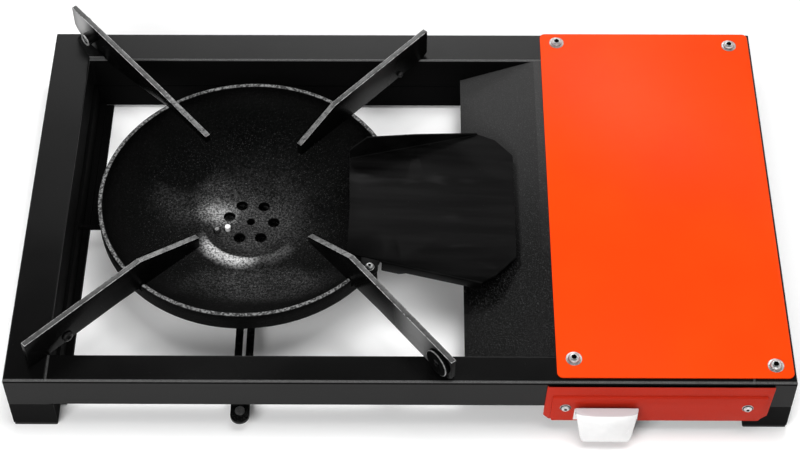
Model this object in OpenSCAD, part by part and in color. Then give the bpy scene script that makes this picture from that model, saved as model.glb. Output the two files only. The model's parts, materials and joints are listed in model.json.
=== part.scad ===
// Two-pan gas burner stand, one burner fitted: tube frame, cast bowl, four
// folding pan-support arms, flame guard, red cover, front panel with a white
// control lever. Millimetres, +Z up, +Y to the rear, floor at z = 0.

/* [Frame] */
// Width of the frame over its side tubes
frame_w = 650; // [560:5:760]
// Depth of the frame, front face to rear face
frame_d = 391.3; // [380:1:420]
// Width of the left and right top tubes
side_w = 34.4; // [30:0.1:38]
// Width of the front top tube
front_w = 26; // [22:0.5:34]
// Width of the rear top tube
rear_w = 33.4; // [28:0.1:38]
// Height of the top of the frame above the floor
frame_top = 66; // [60:0.5:75]
// Height of the joint between the top tubes and the runners
split_z = 31; // [28:0.5:34]
// Outer corner radius of the tubes
tube_r = 1.2; // [0.8:0.1:3]
// Width of the runners that carry the side tubes
runner_w = 37; // [35:0.5:40]
// Height of the rubber pads
pad_h = 3; // [2:0.5:4]
// Tube wall
tube_t = 2; // [1.5:0.1:3]

/* [Bowl] */
// Distance of the bowl's centre to the left of the middle
bowl_x = 134; // [125:1:145]
// Outside radius of the rim
bowl_r = 131.8; // [120:0.2:140]
// Height of the rim above the floor
rim_z = 68; // [66:0.5:70]
// Thickness of the rim
rim_t = 4; // [3:0.5:6]
// Height of the upright band under the rim
band_h = 18.5; // [12:0.5:22]
// Height of the inside bottom
floor_z = 29; // [28:0.5:32]
// Radius of the flat bottom
floor_r = 34; // [30:1:40]
// Radius of the circle of gas holes
hole_ring_r = 20.4; // [18:0.2:24]
// Diameter of a gas hole
gas_hole_d = 9; // [7:0.5:11]
// Diameter of the middle hole
mid_hole_d = 6; // [4:0.5:8]

/* [Arms] */
// Thickness of an arm blade
blade_t = 5; // [4:0.5:6]
// Height of the top edge of the arms
blade_z = 97; // [94:0.5:100]
// Radius of the pivot screws
pivot_r = 3; // [2.5:0.1:4]

/* [Guard and deck] */
// Thickness of the flame guard sheet
guard_t = 1.5; // [1:0.1:2]
// Height of the guard at its left edge
guard_z = 71.2; // [71:0.1:73]
// Left edge of the sloping deck plate
deck_x = 54.5; // [50:0.5:58]
// Height of the deck plate's left edge
deck_z = 39; // [36:0.5:42]

/* [Cover and panel] */
// Thickness of the red cover
cover_t = 1.8; // [1.2:0.1:2.5]
// Left edge of the cover
cover_x0 = 129; // [126:0.5:132]
// Right edge of the cover
cover_x1 = 323; // [318:0.5:324]
// Radius of a cover screw head
cover_head_r = 6.8; // [5:0.1:8]
// Top edge of the front panel
panel_z1 = 61.5; // [58:0.5:63]
// Bottom edge of the front panel
panel_z0 = 14.6; // [10:0.2:16]

/* [Control lever] */
// Width of the lever at its top
lever_w = 52; // [48:0.5:56]
// Width of the lever at its tip
lever_tip_w = 36; // [32:0.5:40]

/* [Hidden] */
$fn = 48;
// moves the middle of the overall box onto the origin
datum_y = 2.1;
hw = frame_w / 2;
hd = frame_d / 2;
xi = hw - side_w;
yf = -hd + front_w;
yr = hd - rear_w;
xr = hw - runner_w;
run = 0.05;
pad_w = runner_w - 0.5;
lip_w = 5.5;
strip_w = 7.1;

// arm: [outer end x, y, heading, full-height length, length, tip top z,
// tip bottom z, distance of the pivot from the end, height of the pivot]
arm_fl = [-305, -181.5, 44.95, 122, 184, 74, 61.5, 10, 83.4];
arm_rr = [21.6, 171.8, 228.1, 123, 168, 81, 68, 10, 83.4];
arm_fr = [44, -196.8, 128.6, 136, 196, 66, 59, 15, 83.4];
arm_rl = [-305.5, 201.6, -49.4, 146, 208, 96, 88, 16, 84.5];
blade_low = frame_top + 0.2;
// side of the blade that carries the visible boss: +1 is the blade's own left
side_fl = -1;
side_rr = 1;
side_fr = 1;
side_rl = -1;

hinge_y = -202.4;
hinge_z = 30.5;
pin_r = 1;
rod_x = 171;
rod_z = 22.8;
gas_y = 14;
gas_z = 20.2;

// ---------------------------------------------------------------- helpers
module rrect(x0, y0, x1, y1, r) {
  union() {
    translate([x0 + r, y0]) square([x1 - x0 - 2 * r, y1 - y0]);
    translate([x0, y0 + r]) square([x1 - x0, y1 - y0 - 2 * r]);
    for (x = [x0 + r, x1 - r]) for (y = [y0 + r, y1 - r]) translate([x, y]) circle(r);
  }
}

// hollow tube section, drawn in its own plane
module tube2d(x0, y0, x1, y1) {
  difference() {
    rrect(x0, y0, x1, y1, tube_r);
    rrect(x0 + tube_t, y0 + tube_t, x1 - tube_t, y1 - tube_t, 1);
  }
}

module along_y(y0, y1) {
  translate([0, y1, 0]) rotate([90, 0, 0]) linear_extrude(y1 - y0) children();
}

module along_x(x0, x1) {
  translate([x0, 0, 0]) rotate([90, 0, 90]) linear_extrude(x1 - x0) children();
}

module rod_y(x, z, y0, y1, r) {
  translate([x, y1, z]) rotate([90, 0, 0]) cylinder(h = y1 - y0, r = r);
}

module rod_x(y, z, x0, x1, r) {
  translate([x0, y, z]) rotate([0, 90, 0]) cylinder(h = x1 - x0, r = r);
}

module datum() {
  translate([0, datum_y, 0]) children();
}

module elbow(x, y, z, a, r) {
  translate([x, y, z]) rotate([0, 0, a]) rotate_extrude(angle = 90) translate([20, 0]) circle(r);
}

// frame of an arm: x runs inward along the blade, y is the blade's own left
module at_arm(a) {
  translate([a[0], a[1], 0]) rotate([0, 0, a[2]]) children();
}

// round bar across the blade from y0 to y1 at s along it
module across(s, z, y0, y1, r) {
  translate([s, y1, z]) rotate([90, 0, 0]) cylinder(h = y1 - y0, r = r);
}

module hex_across(s, z, y0, y1, af) {
  translate([s, y1, z]) rotate([90, 0, 0]) cylinder(h = y1 - y0, r = af / sqrt(3), $fn = 6);
}

// ------------------------------------------------------------------ frame
module side_tube() {
  color("#1d1d1f") along_y(-hd + tube_t, hd - tube_t) tube2d(xi, split_z, hw, frame_top);
}

module rail_right() {
  datum() side_tube();
}

module rail_left() {
  datum() mirror([1, 0, 0]) side_tube();
}

module rail_front() {
  datum() color("#1d1d1f") along_x(-xi, xi) tube2d(-hd, split_z, yf, frame_top);
}

module rail_rear() {
  datum() color("#1d1d1f") along_x(-xi, xi) tube2d(yr, split_z, hd, frame_top);
}

module runner() {
  color("#19191b") along_y(-hd + tube_t, hd - tube_t) tube2d(xr, pad_h, hw, split_z);
}

module runner_right() {
  datum() runner();
}

module runner_left() {
  datum() mirror([1, 0, 0]) runner();
}

module rail_rear_lower() {
  datum() color("#19191b") difference() {
    along_x(-xr, xr) tube2d(yr, pad_h, hd, split_z);
    rod_y(230, 17, yr - 1, hd + 1, 5.6);
  }
}

module end_caps() {
  datum() color("#161618") for (sx = [-1, 1]) for (sy = [-1, 1])
    mirror([sx < 0 ? 1 : 0, 0, 0]) mirror([0, sy < 0 ? 1 : 0, 0]) {
      along_y(hd - tube_t, hd) rrect(xi, split_z, hw, frame_top, tube_r);
      along_y(hd - tube_t, hd) rrect(xr, pad_h, hw, split_z, tube_r);
    }
}

module foot_pads() {
  datum() color("#101011") for (sx = [-1, 1]) for (sy = [-1, 1])
    translate([sx * (hw - runner_w / 2), sy * (hd - 22.2), 0])
      linear_extrude(pad_h) rrect(-pad_w / 2, -22, pad_w / 2, 22, 1.5);
}

// square bar along the foot of the left runner, and the flat strip beside it behind the cross bar
module runner_lip() {
  datum() color("#17171a") translate([-xr, -176, 0.5]) cube([lip_w, 176 + yr, 5.5]);
}

module floor_strip() {
  datum() color("#17171a") translate([-xr + lip_w, 15.5, 0.5]) cube([strip_w, yr - 15.5, 3]);
}

module bead(x, y, sx, sy) {
  translate([x, y, split_z + 3]) linear_extrude(frame_top - split_z - 6)
    polygon([[0, 0], [3.2 * sx, 0], [0, 3.2 * sy]]);
}

module weld_beads() {
  datum() color("#2a2a2c") for (sx = [-1, 1]) {
    bead(sx * xi, yf, -sx, 1);
    bead(sx * xi, yr, -sx, -1);
  }
}

// thin strip from the left runner, stepped down under the burner chamber
module cross_bar() {
  datum() color("#17171a") difference() {
    union() {
      translate([-xr, -3.5, 20.8]) cube([xr - bowl_x - 31, 3, 4]);
      translate([-bowl_x - 34, -5.5, 4]) cube([3, 5, 20.8]);
      translate([-bowl_x - 34, -5.5, 4]) cube([xr + bowl_x + 34, 5, 8]);
      translate([-bowl_x - 34, -5.5, 12]) cube([65, 5, 3.2]);
      translate([-bowl_x + 31, -5.5, 12]) cube([36, 5, 12.8]);
    }
    translate([-bowl_x - 8.3, -6, 11.2]) cube([16.6, 6, 3.2]);
  }
}

// ------------------------------------------------------------------- bowl
in_n = 9;
function in_pt(t) = [floor_r + 10 + (bowl_r - rim_t - floor_r - 10) * sin(90 * t),
  floor_z + 4 + (rim_z - floor_z - 4) * (1 - cos(90 * t))];
function step_pt(t) = [floor_r + 10 * (1 - cos(90 * t)), floor_z + 4 * sin(90 * t)];
function out_pt(t) = [floor_r + 2 + (bowl_r - 9.5 - floor_r - 2) * sin(90 * t),
  floor_z - 4 + (rim_z - band_h - floor_z + 3) * (1 - cos(90 * t))];

module bowl_profile() {
  polygon(concat([[0, floor_z], [floor_r, floor_z]],
    [for (i = [1:3]) step_pt(i / 3)],
    [for (i = [1:in_n]) in_pt(i / in_n)],
    [[bowl_r - 0.8, rim_z], [bowl_r, rim_z - 0.8], [bowl_r, rim_z - band_h], [bowl_r - 3, rim_z - band_h - 1]],
    [for (i = [in_n:-1:0]) out_pt(i / in_n)],
    [[0, floor_z - 4]]));
}

module rim_slot(a, z, w) {
  at_arm(a) translate([20, -w / 2, z]) cube([a[4] - 10, w, 12]);
}

hole_angles = [-2.5, 58, 116, 163.7, -117, -62];
electrode = [-20.1, -8.4];
couple = [-29.3, -11.4];

module bowl() {
  datum() color("#2b2b2d") difference() {
    translate([-bowl_x, 0, 0]) rotate_extrude($fn = 120) bowl_profile();
    for (a = hole_angles)
      translate([-bowl_x + hole_ring_r * cos(a), hole_ring_r * sin(a), floor_z - 6])
        cylinder(h = 10, d = gas_hole_d);
    translate([-bowl_x, 0, floor_z - 6]) cylinder(h = 10, d = mid_hole_d);
    translate([-bowl_x + electrode[0], electrode[1], floor_z - 6]) cylinder(h = 12, r = 2.5);
    translate([-bowl_x + couple[0], couple[1], floor_z - 6]) cylinder(h = 12, r = 2);
    rim_slot(arm_fl, 60, 6.4);
    rim_slot(arm_fr, 59, 6.4);
    rim_slot(arm_rr, 65.4, 6.4);
  }
}

module burner_chamber() {
  datum() color("#3a3a3c") difference() {
    translate([-bowl_x, 0, 15.2]) cylinder(h = floor_z - 4 - 15.2, r = 28);
    translate([-bowl_x, 0, 17.2]) cylinder(h = 12, r = 25.5);
    translate([-bowl_x - 4, -20, 14]) cube([8, 10, 4]);
    rod_x(gas_y, gas_z, -bowl_x + 10, -bowl_x + 40, 3.9);
  }
}

module venturi_tube() {
  datum() color("#55565a") translate([0, gas_y, gas_z]) rotate([0, 90, 0]) difference() {
    union() {
      translate([0, 0, -bowl_x + 22]) cylinder(h = bowl_x - 22, r = 3.9);
      cylinder(h = 20, r1 = 3.9, r2 = 10);
      translate([0, 0, 20]) cylinder(h = 26, r = 10);
      translate([0, 0, 46]) cylinder(h = 4, r = 11.5);
    }
    translate([0, 0, -bowl_x]) cylinder(h = bowl_x + 1, r = 2.9);
    cylinder(h = 20.01, r1 = 2.9, r2 = 8.4);
    translate([0, 0, 20]) cylinder(h = 31, r = 8.4);
    for (a = [0, 90]) rotate([0, 0, a]) translate([-14, -3, 28]) cube([28, 6, 14]);
  }
}

module jet() {
  datum() color("#b08d3c") {
    rod_x(gas_y, gas_z, 50, 53, 8.4);
    difference() {
      rod_x(gas_y, gas_z, 53, 66, 5);
      rod_x(gas_y, gas_z, 52, 67, 0.8);
    }
    rod_x(gas_y, gas_z, 44, 50, 3);
  }
}

// ------------------------------------------------------ valve and gas line
module gas_pipe() {
  datum() color("#b87333") {
    rod_x(gas_y, gas_z, 66, 78, 4);
    elbow(78, gas_y - 20, gas_z, 0, 4);
    rod_y(98, gas_z, -112, gas_y - 20, 4);
    elbow(118, -112, gas_z, 180, 4);
    rod_x(-132, gas_z, 118, 153, 4);
  }
}

module valve_body() {
  datum() color("#b08d3c") difference() {
    union() {
      translate([155, -167.3, 8]) cube([32, 46, 24]);
      rod_x(-132, gas_z, 153, 155, 7);
      rod_x(-132, 17, 187, 191, 7);
      translate([rod_x, -144, 32]) cylinder(h = 6, r = 9);
    }
    rod_y(rod_x, rod_z, -168, -138, 2.4 + run);
  }
}

module valve_rod() {
  datum() color("#c9c9cc") {
    rod_y(rod_x, rod_z, -207, -150, 2.4);
    rod_x(-204.6, rod_z, rod_x - 6, rod_x + 6, 1.25);
  }
}

module valve_bracket() {
  datum() color("#8d8f92") difference() {
    translate([140, yf, 6]) cube([63, 2.3, 50]);
    rod_y(rod_x, rod_z, -171, -165, 3.2);
  }
}

module supply_pipe() {
  datum() color("#b87333") {
    rod_y(230, 17, -112, 160, 4);
    elbow(210, -112, 17, 270, 4);
    rod_x(-132, 17, 191, 210, 4);
  }
}

module inlet_nipple() {
  datum() color("#b08d3c") difference() {
    union() {
      rod_y(230, 17, 160, 201, 5.5);
      rod_y(230, 17, hd, 200, 9);
      rod_y(230, 17, 200, 212.6, 4.5);
    }
    rod_y(230, 17, 159, 213, 2.2);
  }
}

// ------------------------------------------------------------- air control
module air_lever() {
  datum() color("#3a3a3d") translate([-bowl_x, 0, 11.4]) linear_extrude(2.8) difference() {
    union() {
      translate([-8, -194]) square([16, 216]);
      translate([0, -194]) circle(8);
    }
    translate([0, -191]) circle(2.6);
    translate([-1.6, -160]) square([3.2, 110]);
    translate([0, -50]) circle(1.6);
    polygon([[-1.6, -150], [-3.4, -172], [3.4, -172], [1.6, -150]]);
    translate([0, -172]) circle(3.4);
    translate([-5, -2]) square([10, 8]);
  }
}

module air_lever_rivet() {
  datum() color("#c4c4c8") translate([-bowl_x, -191, 0]) {
    translate([0, 0, 11.4]) cylinder(h = 2.8, r = 2.6);
    translate([0, 0, 14.2]) cylinder(h = 1.8, r = 4);
    translate([0, 0, 10.2]) cylinder(h = 1.2, r = 4);
  }
}

module lever_hanger() {
  datum() color("#17171a") translate([-bowl_x, -176, 0]) difference() {
    translate([-12, 0, 8]) cube([24, 3, split_z - 8]);
    translate([-8.3, -1, 11]) cube([16.6, 5, 3.6]);
  }
}

module igniter_electrode() {
  datum() translate([-bowl_x + electrode[0], electrode[1], 0]) {
    color("#efece4") translate([0, 0, 17.2]) cylinder(h = 15.8, r = 2.5);
  }
}

module thermocouple() {
  datum() color("#b9b4a4") translate([-bowl_x + couple[0], couple[1], 0]) {
    translate([0, 0, 14]) cylinder(h = 19.4, r = 2);
  }
}

module igniter_box() {
  datum() color("#222226") {
    translate([228, yf, 34]) cube([46, 52, 22]);
    rod_y(251, 45, yf + 52, yf + 62, 4);
  }
}

// --------------------------------------------------------- deck and guard
deck_top_x = 122;
module deck_profile() {
  polygon([[deck_x, deck_z], [deck_x + 0.6, deck_z - 1.4], [deck_top_x + 0.5, frame_top - 1.7],
    [150, frame_top - 1.7], [150, frame_top - 0.2], [deck_top_x, frame_top - 0.2]]);
}

module deck_plate() {
  datum() color("#232325") along_y(yf, yr)
    translate([0, 0, 0]) deck_profile();
}

// the guard's plate lies in a plane that falls towards the deck
guard_fall = 3.4;
module on_guard() {
  translate([-46, 0, guard_z]) rotate([0, guard_fall, 0]) translate([46, 0, 0]) children();
}

lug_x = -bowl_x + 136 * cos(37.5);
lug_y = -136 * sin(37.5);

module guard_plate() {
  linear_extrude(guard_t) difference() {
    polygon([[-46.5, 39], [-45, 8], [-44.4, -14], [-44.8, -42], [-45.5, -69.5],
    [-34, -72.4], [-32.5, -88], [-20, -88], [-18.4, -75.9], [68.5, -94.3], [80.8, -86.6], [99.8, -65.2], [99.8, 48.6], [84, 66], [67, 72.7]]);
    translate([lug_x, lug_y]) circle(2.2);
  }
}

// flange standing on the far edge, drawn along the fold line
far_a = atan2(72.7 - 39, 67 + 46.5);
far_l = norm([67 + 46.5, 72.7 - 39]);
near_a = atan2(-94.3 + 74.3, 68.5 + 26.2);
near_l = norm([68.5 + 26.2, 20]);

module heat_guard() {
  datum() color("#2e2e31") on_guard() {
    guard_plate();
    translate([-46.5, 39, 0]) rotate([0, 0, far_a]) rotate([90, 0, 0]) linear_extrude(guard_t)
      polygon([[0, 0], [0.5, 12], [4, 15.5], [16, 25], [far_l, 2.5], [far_l, 0]]);
    translate([-26.2, -74.3, 0]) rotate([0, 0, near_a]) rotate([90, 0, 0]) translate([0, 0, -guard_t])
      linear_extrude(guard_t) polygon([[11, 0], [near_l, 0], [near_l, -8],
        [near_l * 0.3, -10.5], [near_l * 0.26, -12.5], [11, -12.5]]);
  }
}

module guard_lug() {
  datum() color("#2b2b2d") difference() {
    translate([lug_x, lug_y, 56]) cylinder(h = 13.6, r = 6.5);
    translate([-bowl_x, 0, 50]) cylinder(h = 25, r = bowl_r, $fn = 120);
    translate([lug_x, lug_y, 60]) cylinder(h = 12, r = 2);
  }
}

module guard_bolts() {
  datum() color("#d0d0d3") translate([lug_x, lug_y, 0]) {
    translate([0, 0, 62]) cylinder(h = 9.8, r = 2);
    translate([0, 0, 71.9]) cylinder(h = 3, r = 4);
  }
}

// stand-offs between the deck plate and the guard's right-hand end
module guard_spacers() {
  datum() color("#2e2e31") for (y = [-36, 20]) difference() {
    translate([88, y, 48]) cylinder(h = 20, r = 4);
    on_guard() translate([60, y - 20, 0]) cube([60, 40, 20]);
    along_y(y - 20, y + 20) polygon([[deck_x, deck_z], [deck_top_x, frame_top - 0.2],
      [deck_top_x, 20], [deck_x, 20]]);
  }
}

// ------------------------------------------------------- cover and panel
cover_pts = [[144.3, 183.5], [304.7, 180.2], [143.3, -173.5], [308.4, -179.7]];

module cover() {
  datum() color("#f4511e") translate([0, 0, frame_top]) linear_extrude(cover_t) difference() {
    rrect(cover_x0, -191.5, cover_x1, 195.5, 5);
    for (p = cover_pts) translate(p) circle(3.3);
  }
}

module cover_screws() {
  datum() color("#d8d8da") for (p = cover_pts) translate([p[0], p[1], frame_top + cover_t]) difference() {
    union() {
      cylinder(h = 1, r = cover_head_r);
      translate([0, 0, 1]) cylinder(h = 2.4, r1 = 5.2, r2 = 3.2);
      translate([0, 0, -cover_t]) cylinder(h = cover_t, r = 3);
    }
    translate([0, 0, 1.4]) cylinder(h = 4, r = 2, $fn = 6);
  }
}

panel_pts = [[137.3, 34], [287.9, 34]];

module control_panel() {
  datum() color("#c8382a") difference() {
    union() {
      along_y(-hd - 1.5, -hd) polygon([[124, panel_z0], [119.6, 20], [121.2, panel_z1 - 1],
        [122.2, panel_z1], [306.8, panel_z1], [308, panel_z1 - 1.4], [306, 20], [301, panel_z0]]);
      along_y(-hd - 3.3, -hd - 1.5) polygon([[126.5, panel_z0], [125.2, 20], [126.2, 47.6],
        [128, 49.2], [302.4, 49.2], [303.8, 47.6], [302, 20], [299, panel_z0]]);
    }
    for (p = panel_pts) rod_y(p[0], p[1], -hd - 4, -hd + 1, 2.2);
    rod_y(rod_x, rod_z, -hd - 4, -hd + 1, 3.2);
  }
}

module panel_screws() {
  datum() color("#d8d8da") for (p = panel_pts) translate([p[0], -hd - 3.3, p[1]]) rotate([90, 0, 0])
    difference() {
      union() {
        cylinder(h = 0.8, r = 4.7);
        translate([0, 0, 0.8]) cylinder(h = 1.6, r1 = 3.7, r2 = 2.4);
        translate([0, 0, -3.3]) cylinder(h = 3.3, r = 2);
      }
      translate([0, 0, 0.9]) cylinder(h = 3, r = 1.4, $fn = 6);
    }
}

// ---------------------------------------------------------- control lever
lever_x = 171.2;

module lever_mount() {
  datum() color("#e9e9ea") difference() {
    union() {
      along_y(-hd - 4.9, -hd - 3.3) polygon([[lever_x - 26.8, 18.4], [lever_x - 26.2, 32],
        [lever_x + 26.2, 32], [lever_x + 26.8, 18.4]]);
      for (x = [lever_x - 22.5, lever_x + 19.5]) along_x(x, x + 3) union() {
        translate([hinge_y, hinge_z - 2.4]) square([-hd - 4.8 - hinge_y, 3.9]);
        translate([hinge_y, hinge_z]) circle(2.4);
      }
    }
    rod_y(rod_x, rod_z, -hd - 6, -hd, 3.2);
    rod_x(hinge_y, hinge_z, lever_x - 25, lever_x + 25, pin_r + run);
  }
}

// side view of the lever, drawn as y, z
module lever_side() {
  polygon([[-202.2, 37.5], [-202.8, 38.4], [-203.6, 38.4], [-216.6, 10.9], [-216.8, 9.2],
    [-215.8, 8.1], [-214.4, 8.6], [-213.9, 10.2], [hinge_y - 4.75 + 1.77, hinge_z], [-202.2, 35.9]]);
}

module lever_cheek(x) {
  along_x(x, x + 2) union() {
    translate([hinge_y, hinge_z]) circle(1.75);
    polygon([[-202.4, 32.1], [-204.6, 35.6], [-211, 22], [-207, 20.4], [-201.9, 29]]);
  }
}

module control_lever() {
  datum() color("#f7f7f8") {
    difference() {
      union() {
        along_x(lever_x - 26, lever_x + 26) lever_side();
        lever_cheek(lever_x - 26);
        lever_cheek(lever_x + 24);
      }
      for (s = [-1, 1]) translate([lever_x, 0, 0]) along_y(-222, -190)
        polygon([[s * 26, 26], [s * lever_tip_w / 2, 12], [s * 14, 8.6], [s * 14, 2], [s * 30, 2], [s * 30, 26]]);
      rod_x(hinge_y, hinge_z, lever_x - 27, lever_x + 27, pin_r);
    }
    for (x = [-5, 3]) along_x(rod_x + x, rod_x + x + 2) difference() {
      polygon([[-208.2, 26.4], [-211.8, 18.4], [-201.4, 18.4], [-201.4, 26.4]]);
      translate([-206.3, 19.9]) square([3.7, 4.6]);
    }
  }
}

module lever_pin() {
  datum() color("#c9c9cc") rod_x(hinge_y, hinge_z, lever_x - 25.5, lever_x + 25.5, pin_r);
}

// ------------------------------------------------------------------- arms
// the heel is an arc about the pivot, so that the arm folds up clear of the frame
module blade_side(a, flip) {
  ps = a[7];
  pz = a[8];
  union() {
    intersection() {
      translate([ps, pz]) circle(pz - blade_low, $fn = 96);
      square([ps, pz]);
    }
    translate([0, pz]) square([ps, blade_z - pz]);
    if (flip) polygon([[ps, blade_low], [62, blade_low], [150, 86.5], [a[4], a[6]], [a[4], a[5]],
      [a[3], blade_z], [ps, blade_z]]);
    else polygon([[ps, blade_low], [95, blade_low], [a[4] - 1, a[6]], [a[4], a[6] + 1.5], [a[4], a[5]],
      [a[3], blade_z], [ps, blade_z]]);
  }
}

// the hole of a screw or boss that the arm carries is at (s, z)
module blade(a, flip, s, z, r) {
  datum() color("#141416") at_arm(a) difference() {
    translate([0, blade_t / 2, 0]) rotate([90, 0, 0]) linear_extrude(blade_t) blade_side(a, flip);
    across(a[7], a[8], -10, 10, pivot_r + run);
    if (r > 0) across(s, z, -10, 10, r);
  }
}

stop_fl = [40, 71.6];
stop_rr = [37.8, 69.4];
stop_rl = [33.4, 86.2];

module arm_front_left() { blade(arm_fl, false, stop_fl[0], stop_fl[1], 2); }
module arm_rear_right() { blade(arm_rr, false, stop_rr[0], stop_rr[1], 1.5); }
module arm_front_right() { blade(arm_fr, false, 0, 0, 0); }
module arm_rear_left() { blade(arm_rl, true, stop_rl[0], stop_rl[1], 2); }

// upright plate behind the blade, welded to the frame, threaded for the pivot
module lug(a, side, s0, s1) {
  datum() color("#1a1a1c") at_arm(a) difference() {
    translate([0, -side * 4.55 + 1.75, 0]) rotate([90, 0, 0]) linear_extrude(3.5) union() {
      polygon([[s0, frame_top], [s1, frame_top], [a[7] + 4.6, a[8]], [a[7] - 4.6, a[8]]]);
      translate([a[7], a[8]]) circle(4.6);
    }
    across(a[7], a[8], -12, 12, pivot_r);
  }
}

module lug_front_left() { lug(arm_fl, side_fl, 2, 18); }
module lug_rear_right() { lug(arm_rr, side_rr, 2, 16); }
module lug_front_right() { lug(arm_fr, side_fr, 6, 24); }
module lug_rear_left() { lug(arm_rl, side_rl, 12.5, 30); }

// the screw ends flush with the lug, and flush with the blade unless a boss covers it
module one_pivot(a, side, boss) {
  y1 = blade_t / 2 + (boss > 0 ? boss : -0.2);
  at_arm(a) mirror([0, side < 0 ? 1 : 0, 0]) difference() {
    union() {
      across(a[7], a[8], -6.3, y1 - (boss > 0 ? 1.8 : 0), pivot_r);
      if (boss > 0) across(a[7], a[8], y1 - 1.8, y1 + 0.9, 3.6);
    }
    if (boss > 0) hex_across(a[7], a[8], y1 - 1.2, y1 + 2, 3.6);
  }
}

module pivot_screws() {
  datum() color("#c4c4c8") {
    one_pivot(arm_fl, side_fl, 0);
    one_pivot(arm_rr, side_rr, 0);
    one_pivot(arm_fr, side_fr, 4);
    one_pivot(arm_rl, side_rl, 0);
  }
}

// round boss, drawn on the visible side of the blade from gap to len out of its face
module boss(a, side, s, z, gap, len, r, shank_r, head_r, head_d) {
  datum() color("#141416") at_arm(a) mirror([0, side < 0 ? 1 : 0, 0]) difference() {
    across(s, z, blade_t / 2 + gap, blade_t / 2 + len, r);
    across(s, z, 0, 30, shank_r);
    across(s, z, blade_t / 2 + len - head_d, 30, head_r);
  }
}

module boss_front_right() {
  boss(arm_fr, side_fr, arm_fr[7], arm_fr[8], 0.3, 4, 12.5, pivot_r, 3.6, 1.8);
}

module boss_rear_left() {
  boss(arm_rl, side_rl, stop_rl[0], stop_rl[1], 0, 10, 6, 2, 3.9, 3.6);
}

// triangular foot plate beside the rear left arm
module foot_plate() {
  datum() color("#3a3a3c") translate([0, 0, frame_top]) linear_extrude(3)
    polygon([[-303, 184.8], [-290, 162.6], [-276.2, 162.6], [-297.4, 187.4]]);
}

module stop_screw(a, side, p, shank_r, out, r) {
  datum() color("#c4c4c8") at_arm(a) mirror([0, side < 0 ? 1 : 0, 0]) difference() {
    union() {
      across(p[0], p[1], -blade_t / 2, blade_t / 2 + out, shank_r);
      across(p[0], p[1], blade_t / 2 + out, blade_t / 2 + out + 2.4, r);
    }
    hex_across(p[0], p[1], blade_t / 2 + out + 1, blade_t / 2 + out + 4, r * 0.9);
  }
}

module stop_screw_front_left() { stop_screw(arm_fl, side_fl, stop_fl, 2, 0, 5); }
module stop_screw_rear_right() { stop_screw(arm_rr, side_rr, stop_rr, 1.5, 0, 2.6); }
module stop_screw_rear_left() { stop_screw(arm_rl, side_rl, stop_rl, 2, 6.4, 3.9); }

rail_left();
rail_right();
rail_front();
rail_rear();
runner_left();
runner_right();
rail_rear_lower();
end_caps();
foot_pads();
weld_beads();
cross_bar();
bowl();
burner_chamber();
venturi_tube();
jet();
gas_pipe();
valve_body();
valve_rod();
valve_bracket();
supply_pipe();
inlet_nipple();
air_lever();
air_lever_rivet();
lever_hanger();
igniter_electrode();
thermocouple();
igniter_box();
deck_plate();
heat_guard();
guard_lug();
guard_bolts();
guard_spacers();
cover();
cover_screws();
control_panel();
panel_screws();
lever_mount();
control_lever();
lever_pin();
arm_front_left();
arm_rear_right();
arm_front_right();
arm_rear_left();
lug_front_left();
lug_rear_right();
lug_front_right();
lug_rear_left();
pivot_screws();
boss_front_right();
boss_rear_left();
foot_plate();
runner_lip();
floor_strip();
stop_screw_front_left();
stop_screw_rear_right();
stop_screw_rear_left();
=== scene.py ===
"""Looks for the one-bowl burner stand: a finish for every solid of the frame, and finer pieces for
the bowl, arms, guard, cover, panel, lever and screws. Metres, +Z up, front at -Y, floor at z = 0.
Tables hold millimetres unless their comment says metres."""

import json
from collections import namedtuple
from contextlib import contextmanager
from math import cos, pi, radians, sin

import bmesh
import bpy
from mathutils import Matrix, Vector


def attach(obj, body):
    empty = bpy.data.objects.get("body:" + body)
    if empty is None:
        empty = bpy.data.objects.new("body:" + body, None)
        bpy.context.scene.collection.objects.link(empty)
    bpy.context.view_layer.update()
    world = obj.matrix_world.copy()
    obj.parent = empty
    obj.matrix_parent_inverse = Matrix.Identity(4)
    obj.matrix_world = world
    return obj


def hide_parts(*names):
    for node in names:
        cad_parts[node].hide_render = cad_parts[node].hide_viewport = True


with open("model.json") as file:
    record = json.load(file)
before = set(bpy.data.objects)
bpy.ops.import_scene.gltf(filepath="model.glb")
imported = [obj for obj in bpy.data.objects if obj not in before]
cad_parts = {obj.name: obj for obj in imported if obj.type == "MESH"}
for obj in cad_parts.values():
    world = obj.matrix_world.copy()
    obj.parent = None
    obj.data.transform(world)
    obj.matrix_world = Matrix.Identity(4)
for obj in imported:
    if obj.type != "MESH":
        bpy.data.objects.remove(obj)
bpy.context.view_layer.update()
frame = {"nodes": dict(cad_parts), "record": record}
mm = 0.001
# metres: how near corners are that share a line, that haven't sagged yet, and that are one
TOUCHING, UNMOVED, SAME = 1e-5, 3e-6, 1e-6


def metres(*values):
    return tuple(v * mm for v in values)


# ------------ camera
CAMERA_PLACE = (0.01066, -1.07922, 1.39407)
CAMERA_PITCH = radians(51.768)
CAMERA_YAW = radians(-0.613)
CAMERA_ROLL = radians(-0.310)
FOCAL_LENGTH, SENSOR_WIDTH = 87.75, 36
CLIP_NEAR, CLIP_FAR = 0.05, 20


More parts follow.
